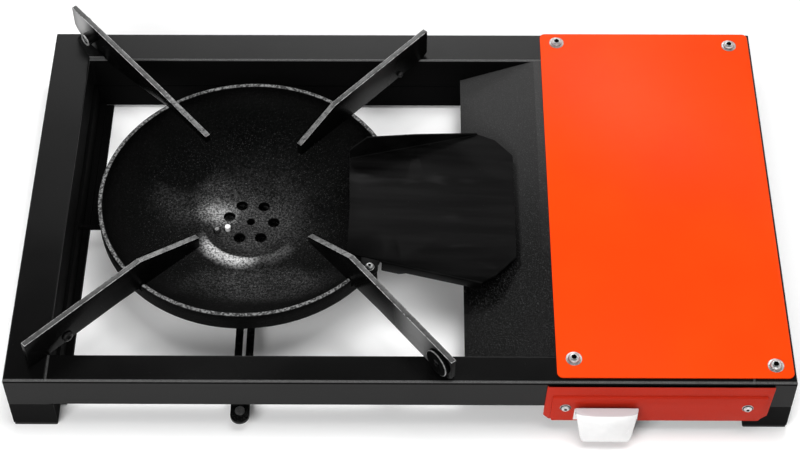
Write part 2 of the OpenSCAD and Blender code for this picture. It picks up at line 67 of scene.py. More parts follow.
def place_camera():
    lens = bpy.data.cameras.new("camera")
    lens.lens, lens.sensor_width = FOCAL_LENGTH, SENSOR_WIDTH
    lens.clip_start, lens.clip_end = CLIP_NEAR, CLIP_FAR
    camera = bpy.data.objects.new("camera", lens)
    bpy.context.scene.collection.objects.link(camera)
    level = Vector((cos(CAMERA_YAW), -sin(CAMERA_YAW), 0))
    look = Vector((sin(CAMERA_YAW) * cos(CAMERA_PITCH), cos(CAMERA_YAW) * cos(CAMERA_PITCH),
                   -sin(CAMERA_PITCH)))
    above = level.cross(look)
    right = cos(CAMERA_ROLL) * level + sin(CAMERA_ROLL) * above
    up = cos(CAMERA_ROLL) * above - sin(CAMERA_ROLL) * level
    turn = Matrix((right, up, -look)).transposed().to_4x4()
    camera.matrix_world = Matrix.Translation(CAMERA_PLACE) @ turn
    bpy.context.scene.camera = camera


# ------------ material nodes
class Value:
    """A node's output that numbers and other outputs can be added to, multiplied with and so on."""

    def __init__(self, nodes, socket):
        self.nodes, self.socket = nodes, socket

    def _with(self, operation, *others):
        return self.nodes.node("Math", {"operation": operation}, dict(enumerate((self, *others))))

    def __add__(self, other): return self._with("ADD", other)
    def __sub__(self, other): return self._with("SUBTRACT", other)
    def __mul__(self, other): return self._with("MULTIPLY", other)
    def __truediv__(self, other): return self._with("DIVIDE", other)
    def __pow__(self, other): return self._with("POWER", other)
    __radd__ = __add__

    def __rsub__(self, other):
        return self.nodes.node("Math", {"operation": "SUBTRACT"}, {0: other, 1: self})

    def __abs__(self): return self._with("ABSOLUTE")

    def at_least(self, low):
        return self._with("MAXIMUM", low)

    def held(self, low=0.0, high=1.0):
        return self.at_least(low)._with("MINIMUM", high)

    def step(self, start, end):
        """0 before start, 1 after end, and smooth between."""
        return self.nodes.node("MapRange", {"interpolation_type": "SMOOTHSTEP"},
                               {"Value": self, "From Min": start, "From Max": end})


class Nodes:
    """The nodes of a material or of the world, in the making."""

    def __init__(self, owner):
        owner.use_nodes = True
        self.tree = owner.node_tree

    def node(self, kind, settings, sockets, out=0):
        made = self.tree.nodes.new("ShaderNode" + kind)
        for key, value in settings.items():
            setattr(made, key, value)
        for key, value in sockets.items():
            self.feed(made.inputs[key], value)
        return Value(self, made.outputs[out])

    def feed(self, socket, value):
        if isinstance(value, Value):
            self.tree.links.new(value.socket, socket)
        elif socket.type == "RGBA":
            socket.default_value = (*value, 1)
        else:
            socket.default_value = value

    def split(self, vector, letters):
        return (self.node("SeparateXYZ", {}, {"Vector": vector}, letter) for letter in letters)

    def ray(self, kind):
        return self.node("LightPath", {}, {}, kind)

    def show(self, output, shader):
        self.feed(self.tree.nodes[output].inputs["Surface"], shader)


class Finish(Nodes):
    """One material in the making: its nodes, its shader and the piece's own coordinates."""

    def __init__(self, name, **constants):
        self.material = bpy.data.materials.new(name)
        super().__init__(self.material)
        self.shader = self.tree.nodes["Principled BSDF"]
        self.shaded = Value(self, self.shader.outputs[0])
        self.wear(**constants)
        self.place = self.node("TexCoord", {}, {}, "Object")

    def noise(self, scale, detail, rough, seed=0.0, stretch=None):
        """Clouds, so many to the metre; the seed shifts them and a stretch draws them out along an axis."""
        at = self.place
        if stretch or seed:
            at = self.node("Mapping", {}, {"Vector": at, "Location": (seed, seed * 0.37, seed * 0.71),
                                           "Scale": stretch or (1, 1, 1)})
        return self.node("TexNoise", {}, {"Vector": at, "Scale": scale, "Detail": detail, "Roughness": rough})

    def cells(self, scale, seed):
        """Distance from the nearest of many scattered points."""
        at = self.node("Mapping", {}, {"Vector": self.place, "Location": (seed, seed, seed)})
        return self.node("TexVoronoi", {}, {"Vector": at, "Scale": scale}, "Distance")

    def specks(self, scale, seed, small, patches):
        """Scattered dots between the two sizes in small; patches is the scale, the seed and the two levels
        of the noise that leaves them only here and there."""
        wide, patch_seed, *levels = patches
        return self.cells(scale, seed).step(*small) * self.noise(wide, 2, 0.5, patch_seed).step(*levels)

    def axes(self, letters):
        """The piece's own coordinates, in metres."""
        return self.split(self.place, letters)

    def blend(self, amount, one, two):
        return self.node("Mix", {"data_type": "RGBA", "blend_type": "MIX"}, {0: amount, 6: one, 7: two}, 2)

    def bump(self, height, strength, depth, under=None):
        sockets = {"Height": height, "Strength": strength, "Distance": depth}
        if under:
            sockets["Normal"] = under
        return self.node("Bump", {}, sockets)

    def wear(self, **links):
        for socket, value in links.items():
            self.feed(self.shader.inputs[socket.replace("_", " ")], value)
        return self.material


def colour(value):
    """A hex colour, or a grey level, as it is seen on a screen, in linear light."""
    if not isinstance(value, str):
        value = "#" + "%02x" % round(value) * 3
    parts = [int(value[i:i + 2], 16) / 255 for i in (1, 3, 5)]
    return tuple(c / 12.92 if c <= 0.04045 else ((c + 0.055) / 1.055) ** 2.4 for c in parts)


# ------------ finishes
# planes of the frame that the black paint follows, and heights of its painted shade and painted highlight
# lines, in metres
SIDE_FACE, FRONT_FACE, REAR_FACE, TOP_FACE = 0.3242, -0.1926, 0.197, 0.0652
FOOT_SHADE, DARK_LINE_LOW, DARK_LINE_HIGH = 0.0306, 0.0622, 0.0646
SIDE_EDGE, REAR_EDGE, FRONT_EDGE = 0.2898, 0.1652, -0.1929
FACE_BLEND, DARK_LINE_BLEND = 0.0006, 0.0005
LINE_REACH, LINE_CORE = 0.0013, 0.0006
CORNER_SOFT, FRONT_FADE, LINE_LEVEL = 0.0012, (-0.17, -0.164), (0.0644, 0.0651)
# greys: painted shade inside the frame, dust, painted sheen on the deck, grit, and the painted highlight
# along the tubes' edges
INSIDE_SHADE_GREY, DUST_GREY, DECK_SHEEN_GREY, GRIT_GREY, LINE_HIGHLIGHT_GREY = 8, 120, 70, 88, 104


def painted_inside_shade(paint):
    """Painted shade: keeps the gloss on a tube's top and outer faces, and gives what looks into the frame,
    the low front of the feet and a thin line under the front edge a dark matt coat instead.
    """
    matt = paint.node("BsdfPrincipled", {}, {"Base Color": colour(INSIDE_SHADE_GREY), "Roughness": 0.75,
                                             "Specular IOR Level": 0.02})
    x, y, z = paint.axes("XYZ")
    deep = (z.step(TOP_FACE, TOP_FACE - FACE_BLEND)
            * x.step(-SIDE_FACE, FACE_BLEND - SIDE_FACE) * x.step(SIDE_FACE, SIDE_FACE - FACE_BLEND)
            * y.step(FRONT_FACE, FRONT_FACE + FACE_BLEND) * y.step(REAR_FACE, REAR_FACE - FACE_BLEND))
    front = y.step(FRONT_FACE + FACE_BLEND, FRONT_FACE)
    low = front * z.step(FOOT_SHADE + FACE_BLEND, FOOT_SHADE) * 0.8
    dark_edge_line = front * z.step(DARK_LINE_LOW, DARK_LINE_LOW + DARK_LINE_BLEND) * z.step(DARK_LINE_HIGH, DARK_LINE_HIGH - DARK_LINE_BLEND)
    paint.show("Material Output",
               paint.node("MixShader", {}, {0: (deep + low + dark_edge_line).held(), 1: paint.shaded, 2: matt}))


def painted_edge_lines(coat):
    """1 along the tubes' upper inner edges and along the front edge: a painted highlight where the rounded
    edges catch the light, weaker towards the front on the side tubes.
    """
    x, y, z = coat.axes("XYZ")

    def line(across, at):
        return across.step(at - LINE_REACH, at - LINE_CORE) * across.step(at + LINE_REACH, at + LINE_CORE)

    inner = SIDE_EDGE + 0.0004
    between = x.step(-inner - CORNER_SOFT, -inner) * x.step(inner + CORNER_SOFT, inner)
    before = y.step(REAR_EDGE + CORNER_SOFT, REAR_EDGE) * (0.45 + y.step(*FRONT_FADE) * 0.55)
    sides = (line(x, -SIDE_EDGE) + line(x, SIDE_EDGE)) * before
    ends = line(y, REAR_EDGE) * between + line(y, FRONT_EDGE) * 0.9
    return ((sides + ends) * z.step(*LINE_LEVEL)).held()


def satin_black(name, dark, light, gloss=0.19, grain=1.0, glint=0.14, inside=False, sheen_span=None):
    """Powder coat on steel: mottled, faintly orange-peeled, with a few pale specks of dust.
    An optional pair of places along Y paints a sheen that turns the coat paler towards the rear between them,
    and then also adds gritty specks all over."""
    coat = Finish(name, Specular_IOR_Level=glint)
    clouds = coat.noise(9, 3, 0.55).step(0.3, 0.72)
    peel = coat.noise(900, 2, 0.5, 3.1)
    fine = coat.noise(2600, 1, 0.5, 1.3)
    dust = coat.specks(320, 2.0, (0.09, 0.03), (60, 5.0, 0.56, 0.66))
    shade = coat.blend(clouds, colour(dark), colour(light))
    shade = coat.blend(dust * 0.35, shade, colour(DUST_GREY))
    if sheen_span:
        y, = coat.axes("Y")
        shade = coat.blend(y.step(*sheen_span) * (0.3 + fine * 0.5), shade, colour(DECK_SHEEN_GREY))
        shade = coat.blend(coat.noise(1300, 2, 0.6, 9.0).step(0.56, 0.7) * 0.4, shade, colour(GRIT_GREY))
    # faces that look into the frame get painted shade, and the tubes' upper edges a painted highlight
    if inside:
        painted_inside_shade(coat)
        highlit_lines = painted_edge_lines(coat) * (0.25 + fine.step(0.35, 0.65) * 0.6)
        shade = coat.blend(highlit_lines, shade, colour(LINE_HIGHLIGHT_GREY))
    return coat.wear(Base_Color=shade, Roughness=(clouds * 0.06 + peel * 0.05 + (gloss - 0.05)).held(),
                     Normal=coat.bump(peel + fine * 0.5, 0.06 * grain, 0.0003))


SHIFT_Y = 2.1  # from the middle of the measured plan to the middle of the frame
BOWL_X, BOWL_Y = -134, SHIFT_Y
# rings in which the dish turns paler towards its middle
PALE_RINGS = ((64, 12, 0.2), (98, 20, 0.07))  # radius where it ends, radius where it is full, amount
# places of the bowl as (right, back) of its middle, half width, half depth, amount: a painted highlight left
# of the gas holes and its haze, a painted sheen on the near wall, a paler middle, and a painted shadow of an
# arm where the amount is negative
PAINTED_LIGHT_SPOTS = ((-30, 9, 25, 20, 1.6), (-46, 20, 60, 40, 0.2), (10, -76, 100, 30, 0.26),
               (0, -8, 50, 44, 0.14), (-62, 74, 30, 70, -0.3))
# painted highlight on the step's shoulder along its front, brightest at the front left, in the same columns
STEP_HIGHLIGHTS = ((-20, -40, 38, 38, 1.15), (24, -40, 28, 20, 0.1))
# a small bright painted highlight left of the gas holes, in the same columns
HIGHLIGHT_SPOT = (-29, 9, 17, 13, 0.45)


def cast_black(name):
    """Sand-cast iron under heat-proof paint: black at the wall and paler towards the gas holes, with painted
    highlights, a painted sheen and painted glints on the dish and a painted shadow of an arm.
    """
    iron = Finish(name, Specular_IOR_Level=0.03)
    across, back, up = iron.axes("XYZ")
    x, y = across * 1000 - BOWL_X, back * 1000 - BOWL_Y
    radius = (x * x + y * y) ** 0.5

    def spot(u, v, wide, deep, amount):
        """The amount at a place of the dish, falling to 0 round it."""
        near = (((x - u) / wide) * ((x - u) / wide) + ((y - v) / deep) * ((y - v) / deep)).step(1, 0)
        return near * near * amount

    def total(values):
        first, *rest = values
        for value in rest:
            first = first + value
        return first

    sand = iron.noise(520, 4, 0.62)
    pits = iron.cells(420, 1.0)
    lumps = iron.noise(46, 3, 0.55, 2.0)
    # bright specks: painted glints
    glint_specks = iron.noise(1100, 2, 0.55, 7.0).step(0.62, 0.72)
    clouds = iron.noise(24, 3, 0.6, 4.0).step(0.3, 0.7)
    band = radius.step(132, 131.2) * up.step(0.0672, 0.0679)
    shoulder = radius.step(42, 44.5) * radius.step(59, 45)
    # paler rings towards the middle, with the painted highlights, sheen and arm shadow of the spots
    pale_and_painted_light = total([radius.step(end, full) * amount for end, full, amount in PALE_RINGS]
                  + [spot(*place) for place in PAINTED_LIGHT_SPOTS]).held()
    pale_and_painted_light = pale_and_painted_light * (0.45 + clouds * 0.55)
    # painted highlight on the step's shoulder and beside the gas holes
    painted_highlight = (shoulder * total([spot(*place) for place in STEP_HIGHLIGHTS]).held() + spot(*HIGHLIGHT_SPOT)).held()
    shade = iron.blend(sand.step(0.3, 0.75), colour(2), colour(8))
    for amount, grey in (
            (pale_and_painted_light * (0.15 + sand.step(0.42, 0.66) * 0.85), 126),
            (glint_specks * (pale_and_painted_light * 0.9 + 0.1 - radius.step(80, 120) * 0.08).held(), 188),
            (painted_highlight * (0.2 + sand.step(0.4, 0.58) * 0.75), 212),
            (band * (0.12 + sand.step(0.42, 0.6) * 0.75), 138)):
        shade = iron.blend(amount, shade, colour(grey))
    rough = (0.52 - clouds * 0.08 - glint_specks * 0.1 + sand * 0.12).held(0.12, 0.9)
    coarse = iron.bump(sand + (1 - pits.step(0.0, 0.4)) * 0.5, 0.45, 0.0005)
    return iron.wear(Base_Color=shade, Roughness=rough, Normal=iron.bump(lumps, 0.2, 0.001, coarse))


def streaked_highlight(name, pale, metal):
    """A pale finish for a black part's edges and upper faces: a painted highlight, streaked with bare steel
    where the coat is rubbed.
    """
    edge = Finish(name)
    streak = edge.noise(240, 3, 0.6, 2.5)
    fine = edge.noise(1500, 2, 0.6, 1.0)
    bare = (streak * 0.6 + fine * 0.5).step(0.42, 0.62)
    return edge.wear(Base_Color=edge.blend(bare, colour(46), colour(pale)), Roughness=0.46 - bare * 0.14,
                     Metallic=bare * metal, Normal=edge.bump(fine, 0.2, 0.0003))


# painted sheen on the arms' flat sides, in metres: x, y, reach, amount
PAINTED_SHEEN_SPOTS = ((0.0153, -0.159, 0.034, 0.42), (-0.028, 0.118, 0.04, 0.08), (-0.297, 0.193, 0.024, 1))


def blade_paint(name):
    """Gloss black on the arms' flat sides, with small scuffs, and a painted sheen that makes them paler in
    places.
    """
    paint = Finish(name, Specular_IOR_Level=0.04)
    x, y = paint.axes("XY")
    soft = paint.noise(30, 3, 0.6)
    scuffs = paint.specks(260, 4.0, (0.07, 0.02), (80, 6.0, 0.52, 0.62))
    fine = paint.noise(1300, 2, 0.5, 2.0)
    shade = paint.blend(soft.step(0.3, 0.7), colour(4), colour(10))
    sheen_mask = 0.0
    for u, v, reach, amount in PAINTED_SHEEN_SPOTS:
        away = ((x - u) * (x - u) + (y - v) * (y - v)) ** 0.5
        sheen_mask = (away * (1 / reach)).step(1, 0.1) * amount + sheen_mask
    shade = paint.blend(sheen_mask.held() * (0.75 + soft * 0.4), shade, colour(168))
    return paint.wear(Base_Color=paint.blend(scuffs * 0.7, shade, colour(170)),
                      Roughness=(0.14 + soft * 0.12 + fine * 0.04).held(),
                      Normal=paint.bump(fine, 0.06, 0.0002))


def guard_sheet(name):
    """Blued sheet steel, rolled with the grain along its length and swept by hand."""
    sheet = Finish(name, Specular_IOR_Level=0.045)
    sweep = sheet.noise(22, 4, 0.6, 1.0, (0.35, 3.2, 1))
    arcs = sheet.noise(12, 3, 0.6, 3.0, (0.8, 2.2, 1))
    fine = sheet.noise(800, 2, 0.6, 2.0, (0.3, 1, 1))
    specks = sheet.specks(380, 3.0, (0.08, 0.02), (90, 8.0, 0.56, 0.66))
    shade = sheet.blend(sweep.step(0.35, 0.7), colour(4), colour(13))
    shade = sheet.blend(arcs.step(0.55, 0.75) * 0.7, shade, colour(44))
    return sheet.wear(Base_Color=sheet.blend(specks * 0.6, shade, colour(130)),
                      Roughness=(0.34 - sweep * 0.1 + fine * 0.08).held(),
                      Normal=sheet.bump(fine + sweep * 2, 0.08, 0.0003))


def enamel(name, light, dark, gloss=0.2):
    """Coloured powder coat: nearly even, a touch deeper in soft clouds and rubbed in places."""
    coat = Finish(name, Specular_IOR_Level=0.05)
    clouds = coat.noise(7, 3, 0.5).step(0.3, 0.75)
    peel = coat.noise(1100, 2, 0.5, 1.0)
    rub = coat.noise(40, 4, 0.6, 3.0, (1, 0.25, 1)).step(0.62, 0.8)
    return coat.wear(Base_Color=coat.blend(clouds, colour(light), colour(dark)),
                     Roughness=(gloss + peel * 0.04 + rub * 0.05).held(),
                     Normal=coat.bump(peel, 0.04, 0.0002))


def bright_steel(name, pale=205, dull=0.28):
    """Zinc-plated or plain steel, turned, with darker smears of grease."""
    steel = Finish(name)
    smear = steel.noise(420, 3, 0.6)
    shade = steel.blend(smear.step(0.35, 0.75), colour(pale), colour(pale * 0.72))
    return steel.wear(Base_Color=shade, Metallic=0.9, Roughness=(dull + smear * 0.14).held(),
                      Normal=steel.bump(smear, 0.06, 0.0002))


def tinted_metal(name, light, dark):
    """Brass or copper, handled and browned."""
    metal = Finish(name)
    stain = metal.noise(150, 4, 0.6)
    return metal.wear(Base_Color=metal.blend(stain.step(0.3, 0.7), colour(light), colour(dark)), Metallic=1.0,
                      Roughness=(0.3 + stain * 0.2).held(), Normal=metal.bump(stain, 0.05, 0.0003))


def moulded(name, light, dark, gloss, glint=0.5, scatter=0.0, top_shade=None):
    """Plastic, rubber or glazed ceramic with a fine even skin; an optional height and tint paint everything
    above that height in the darker tint, as shade on the top.
    """
    skin = Finish(name, Specular_IOR_Level=glint, Subsurface_Weight=scatter)
    skin.shader.inputs["Subsurface Radius"].default_value = (0.004, 0.004, 0.004)
    soft = skin.noise(60, 3, 0.5)
    fine = skin.noise(1600, 1, 0.5, 2.0)
    shade = skin.blend(soft.step(0.3, 0.7), colour(light), colour(dark))
    if top_shade:
        z, = skin.axes("Z")
        shade = skin.blend(z.step(top_shade[0], top_shade[0] + 0.0004), shade, colour(top_shade[1]))
    return skin.wear(Base_Color=shade, Roughness=(gloss + soft * 0.08).held(),
                     Normal=skin.bump(fine, 0.05, 0.0002))


FINISHES = {
    # the tubes take painted shade inside the frame and painted highlights along their upper edges
    "frame_black": satin_black("frame_paint", 7, 12, glint=0.11, inside=True),
    "runner_black": satin_black("runner_paint", 6, 10, 0.28, glint=0.07, inside=True),
    "cast_black": cast_black("cast_iron"),
    "blade_black": blade_paint("blade_paint"),
    "guard_dark": guard_sheet("guard_steel"),
    # the deck's paler rear is a painted sheen
    "sheet_black": satin_black("deck_paint", 3, 8, 0.24, 5.0, 0.08, sheen_span=(-0.08, 0.17)),
    "cover_orange": enamel("cover_enamel", "#ee460e", "#e43f0c"),
    "panel_red": enamel("panel_enamel", "#b42b1a", "#a82616", 0.26),
    # the lever's top is painted a darker tint, as shade
    "lever_white": moulded("lever_plastic", 230, 222, 0.22, scatter=0.05, top_shade=(0.0352, "#b9aeb0")),
    "screw_steel": bright_steel("screw_plate"),
    "plain_steel": bright_steel("plain_steel", 150, 0.36),
    "brass": tinted_metal("valve_brass", "#c8a14e", "#96742f"),
    "copper": tinted_metal("pipe_copper", "#c98455", "#8a5234"),
    "rubber": moulded("pad_rubber", 20, 28, 0.7, 0.3),
    "ceramic": moulded("glazed_ceramic", 242, 222, 0.25),
    "box_black": moulded("box_plastic", 22, 30, 0.45),
}
# pale finishes that paint highlights on rounded edges and upper faces, streaked like rubbed paint
EDGE = streaked_highlight("edge_highlight_worn", 185, 0.6)
PALE_HIGHLIGHT_AND_WEAR = streaked_highlight("pale_highlight_worn", 122, 0.4)
TOP_SHEEN_AND_WEAR = streaked_highlight("top_sheen_worn", 78, 0.3)
DARK_SCREW = satin_black("blackened_screw", 14, 40, 0.3)
# a near-black matt coat, painted as shade in sockets, creases and gas holes and as a dark reflection on a
# boss
SHADE_BLACK = satin_black("painted_shade_black", 2, 5, 0.7, 2.0, 0.02)


def dress_frame():
    """Every solid of the frame takes the finish of its slot."""
    slots = {part["node"]: part["material_slot"] for part in frame["record"]["subparts"]}
    for name, solid in frame["nodes"].items():
        paint(solid, FINISHES[slots[name]])


# ------------ modelling
def alone(piece):
    bpy.ops.object.select_all(action="DESELECT")
    piece.select_set(True)
    bpy.context.view_layer.objects.active = piece


def begin(kind, name, **where):
    """A primitive, named, alone in the selection and with its place in its mesh."""
    bpy.ops.object.select_all(action="DESELECT")
    getattr(bpy.ops.mesh, f"primitive_{kind}_add")(**where)
    piece = bpy.context.object
    piece.name = piece.data.name = name
    bpy.ops.object.transform_apply()
    return piece


def block(name, middle, size):
    """A box by its middle and its size along X, Y and Z, in millimetres."""
    return begin("cube", name, size=1, location=metres(*middle), scale=metres(*size))


def rod(name, radius, depth, z=0, sides=6):
    """An upright rod with its middle at z, in millimetres; six-sided unless told otherwise."""
    return begin("cylinder", name, vertices=sides, radius=radius * mm, depth=depth * mm,
                 location=metres(0, 0, z))


@contextmanager
def edit(piece, mode="FACE"):
    """Edit mode with nothing selected yet."""
    alone(piece)
    bpy.ops.object.mode_set(mode="EDIT")
    bpy.ops.mesh.select_mode(type=mode)
    bpy.ops.mesh.select_all(action="DESELECT")
    yield
    bpy.ops.object.mode_set(mode="OBJECT")


def pick(piece, kind, test):
    """Selects the corners, edges or faces that the test accepts by their place (and a face's direction)."""
    mesh = bmesh.from_edit_mesh(piece.data)
    if kind == "corners":
        for v in mesh.verts:
            v.select_set(test(v.co))
    elif kind == "edges":
        for e in mesh.edges:
            e.select_set(test(*(v.co for v in e.verts)))
    else:
        for f in mesh.faces:
            f.select_set(test(f.calc_center_median(), f.normal))
    mesh.select_flush_mode()
    bmesh.update_edit_mesh(piece.data)


def shift_corners(piece, test, by):
    with edit(piece, "VERT"):
        pick(piece, "corners", test)
        bpy.ops.transform.translate(value=by)


def draw_out(piece, test, depth):
    """Extrudes the edges that the test accepts straight up, or down for a negative depth."""
    with edit(piece, "EDGE"):
        pick(piece, "edges", test)
        bpy.ops.mesh.extrude_edges_move(TRANSFORM_OT_translate={"value": metres(0, 0, depth)})


def curve_edges(piece, test, radius, parts):
    """Rounds the edges that the test accepts."""
    with edit(piece, "EDGE"):
        pick(piece, "edges", test)
        bpy.ops.mesh.bevel(offset=radius * mm, segments=parts, affect="EDGES")


def slice_at(piece, point, normal, trim=False, fill=True):
    """Cuts all round the piece; with trim, what the normal points to falls away."""
    with edit(piece):
        bpy.ops.mesh.select_all(action="SELECT")
        bpy.ops.mesh.bisect(plane_co=point, plane_no=normal, clear_outer=trim, use_fill=trim and fill)


def apply_modifier(piece, kind, **settings):
    alone(piece)
    modifier = piece.modifiers.new(kind.lower(), kind)
    for key, value in settings.items():
        setattr(modifier, key, value)
    bpy.ops.object.modifier_apply(modifier=modifier.name)


def round_edges(piece, width, segments, angle, finish=-1):
    """Rounds every edge sharper than the angle; a finish is the number of the one that the roundings get."""
    apply_modifier(piece, "BEVEL", width=width * mm, segments=segments, limit_method="ANGLE",
                   angle_limit=radians(angle), material=finish, use_clamp_overlap=True)


def cut(piece, tool):
    apply_modifier(piece, "BOOLEAN", object=tool, operation="DIFFERENCE", solver="EXACT")
    bpy.data.objects.remove(tool)


def turned(name, profile, sides, hollow=False):
    """A turned piece round Z: one small circle, drawn out ring by ring along (radius, height)."""
    (radius, height), *rest = (metres(*point) for point in profile)
    piece = begin("circle", name, vertices=sides, radius=radius, location=(0, 0, height),
                  fill_type="NOTHING" if hollow else "TRIFAN")
    with edit(piece, "EDGE"):
        pick(piece, "edges", lambda a, b: min(a.xy.length, b.xy.length) > radius * 0.98)
        for r, z in rest:
            bpy.ops.mesh.extrude_edges_move(TRANSFORM_OT_translate={"value": (0, 0, z - height)})
            bpy.ops.transform.resize(value=(r / radius, r / radius, 1), center_override=(0, 0, 0))
            radius, height = r, z
        if hollow:
            bpy.ops.mesh.select_all(action="SELECT")
            bpy.ops.mesh.remove_doubles(threshold=SAME)
        else:
            bpy.ops.mesh.edge_face_add()
        bpy.ops.mesh.select_all(action="SELECT")
        bpy.ops.mesh.normals_make_consistent(inside=False)
    return piece


def stand(piece, matrix):
    """Puts a finished piece in its place, with the place in its mesh."""
    alone(piece)
    piece.matrix_world = matrix
    bpy.ops.object.transform_apply()
    return piece


def moved(x, y, z):
    """The way to a place in millimetres."""
    return Matrix.Translation(metres(x, y, z))


def smooth(piece, angle):
    alone(piece)
    bpy.ops.object.shade_smooth_by_angle(angle=radians(angle))
    return piece


def join(name, *parts):
    bpy.ops.object.select_all(action="DESELECT")
    for part in parts:
        part.select_set(True)
    bpy.context.view_layer.objects.active = parts[0]
    bpy.ops.object.join()
    parts[0].name = parts[0].data.name = name
    return parts[0]


def copy_of(piece):
    twin = piece.copy()
    twin.data = piece.data.copy()
    bpy.context.scene.collection.objects.link(twin)
    return twin


def paint(piece, *finishes):
    piece.data.materials.clear()
    for finish in finishes:
        piece.data.materials.append(finish)
    return piece


def assign(piece, number, test):
    """Gives the faces that the test accepts the finish of that number."""
    with edit(piece):
        pick(piece, "faces", test)
        piece.active_material_index = number
        bpy.ops.object.material_slot_assign()


def hand_over(piece, body, slot, *nodes):
    """The finished piece rides on its body and stands for the solids that it refines."""
    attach(piece, body)
    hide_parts(*nodes)


# ------------ arms
BLADE_TOP, BLADE_LOW, BLADE_THICK = 97.0, 66.2, 5
# place of the outer end, heading, top and bottom line as (place along it, height), pivot, body, seen side
Arm = namedtuple("Arm", "end heading top low pivot body side")
ARMS = {
    "front_left": Arm((-305, -181.5), 44.95, ((122, 97), (184, 74)), ((95, 66.2), (184, 61.5)),
                      (10, 83.4), "fl_arm", -1),
    "rear_right": Arm((21.6, 171.8), 228.1, ((123, 97), (168, 81)), ((95, 66.2), (168, 68)),
                      (10, 83.4), "rr_arm", 1),
    "front_right": Arm((44, -196.8), 128.6, ((136, 97), (196, 66)), ((95, 66.2), (196, 59)),
                       (15, 83.4), "fr_arm", 1),
    "rear_left": Arm((-305.5, 201.6), -49.4, ((146, 97), (208, 96)), ((62, 66.2), (150, 86.5), (208, 88)),
                     (16, 84.5), "rl_arm", -1),
}
HEEL_PARTS = 13  # of the quarter turn at a heel, which is rounded from the third of them on
HEEL_CUTS = range(3, HEEL_PARTS)


def arm_place(name):
    (x, y), heading = ARMS[name].end, ARMS[name].heading
    return moved(x, y + SHIFT_Y, 0) @ Matrix.Rotation(radians(heading), 4, "Z")


def across_arm(name, s, z, out):
    """A place on the visible side of an arm's blade, with +Z pointing away from the blade."""
    side = ARMS[name].side
    return (arm_place(name) @ moved(s, side * (BLADE_THICK / 2 + out), z)
            @ Matrix.Rotation(radians(-90 * side), 4, "X"))


def level_at(line, s, start):
    """Height of a bar's top or bottom line at s along it; level before its first corner."""
    points = ((0, start), *line)
    for (s0, z0), (s1, z1) in zip(points, points[1:]):
        if s <= s1:
            return z0 + (z1 - z0) * (s - s0) / (s1 - s0)


def make_arm(name):
    """A flame-cut bar: heel rounded about its screw, tip tapered, with a painted highlight on its upper edges
    and a painted sheen on its top.
    """
    arm = ARMS[name]
    length, (pivot_s, pivot_z) = arm.top[-1][0], arm.pivot
    heel = pivot_z - BLADE_LOW
    bar = block(f"{name}_blade", (length / 2, 0, (BLADE_TOP + BLADE_LOW) / 2),
                (length, BLADE_THICK, BLADE_TOP - BLADE_LOW))
    for k in HEEL_CUTS:
        turn = radians(180 + 90 * k / HEEL_PARTS)
        out = Vector((cos(turn), 0, sin(turn)))
        slice_at(bar, Vector(metres(pivot_s, 0, pivot_z)) + out * heel * mm, out, trim=True)
    corners = sorted({s for s, _ in arm.top + arm.low})
    for s in corners[:-1]:
        slice_at(bar, metres(s, 0, 0), (1, 0, 0))
    for line, rest in ((arm.top, BLADE_TOP), (arm.low, BLADE_LOW)):
        for s in corners:
            shift_corners(bar, lambda p: abs(p.x - s * mm) < TOUCHING and abs(p.z - rest * mm) < TOUCHING,
                          metres(0, 0, level_at(line, s, rest) - rest))
    # upward roundings take a painted highlight, the flat top a painted sheen and the sloping top towards the
    # tip a paler painted highlight; faces that look sideways or down stay gloss black
    paint(bar, FINISHES["blade_black"], EDGE, TOP_SHEEN_AND_WEAR, PALE_HIGHLIGHT_AND_WEAR)
    round_edges(bar, 0.6, 3, 30, 1)
    assign(bar, 0, lambda at, out: out.z < 0.3)
    assign(bar, 2, lambda at, out: out.z > 0.98)
    assign(bar, 3, lambda at, out: out.z > 0.75 and at.x > (arm.top[0][0] + 1) * mm)
    hand_over(stand(smooth(bar, 32), arm_place(name)), arm.body, "blade_black", f"arm_{name}")


# ------------ bowl
# profiles as (radius, height); holes as (right, back) of the middle and radius
FLOOR_LEVEL = 29.0
BOWL_FLOOR = [(r, FLOOR_LEVEL) for r in (12, 24, 33)]
BOWL_STEP = [(34 + 10 * (1 - cos(radians(a))), FLOOR_LEVEL + 4 * sin(radians(a)))
             for a in (12, 30, 50, 70, 85)]
BOWL_DISH = [(44 + 83.8 * sin(radians(a)), 33 + 35 * (1 - cos(radians(a)))) for a in range(3, 87, 3)]
BOWL_RIM = [(127.7, 66.2), (127.9, 67.3), (128.5, 67.9), (129.5, 68.0), (130.6, 67.95), (131.4, 67.5),
            (131.8, 66.6)]
BOWL_WALL = [(131.8, 60), (131.8, 52), (131.6, 50.1), (130.8, 49.0), (128.8, 48.5)]
BOWL_BACK = [(36 + 86.3 * sin(radians(a)), 25 + 23.5 * (1 - cos(radians(a)))) for a in range(84, 0, -6)]
BOWL_UNDER = [(34, 25), (12, 25)]
GAS_HOLE_RING, GAS_HOLE = 20.4, 4.5
BOWL_HOLES = [(GAS_HOLE_RING * cos(radians(a)), GAS_HOLE_RING * sin(radians(a)), GAS_HOLE)
              for a in (-2.5, 58, 116, 163.7, -117, -62)] + [(0, 0, 3), (-20.1, -8.4, 2.5), (-29.3, -11.4, 2)]
SLOT_WIDE, SLOT_HIGH, SLOT_START = 6.4, 12, 20
SLOT_FLOORS = (("front_left", 60), ("front_right", 59), ("rear_right", 65.4))


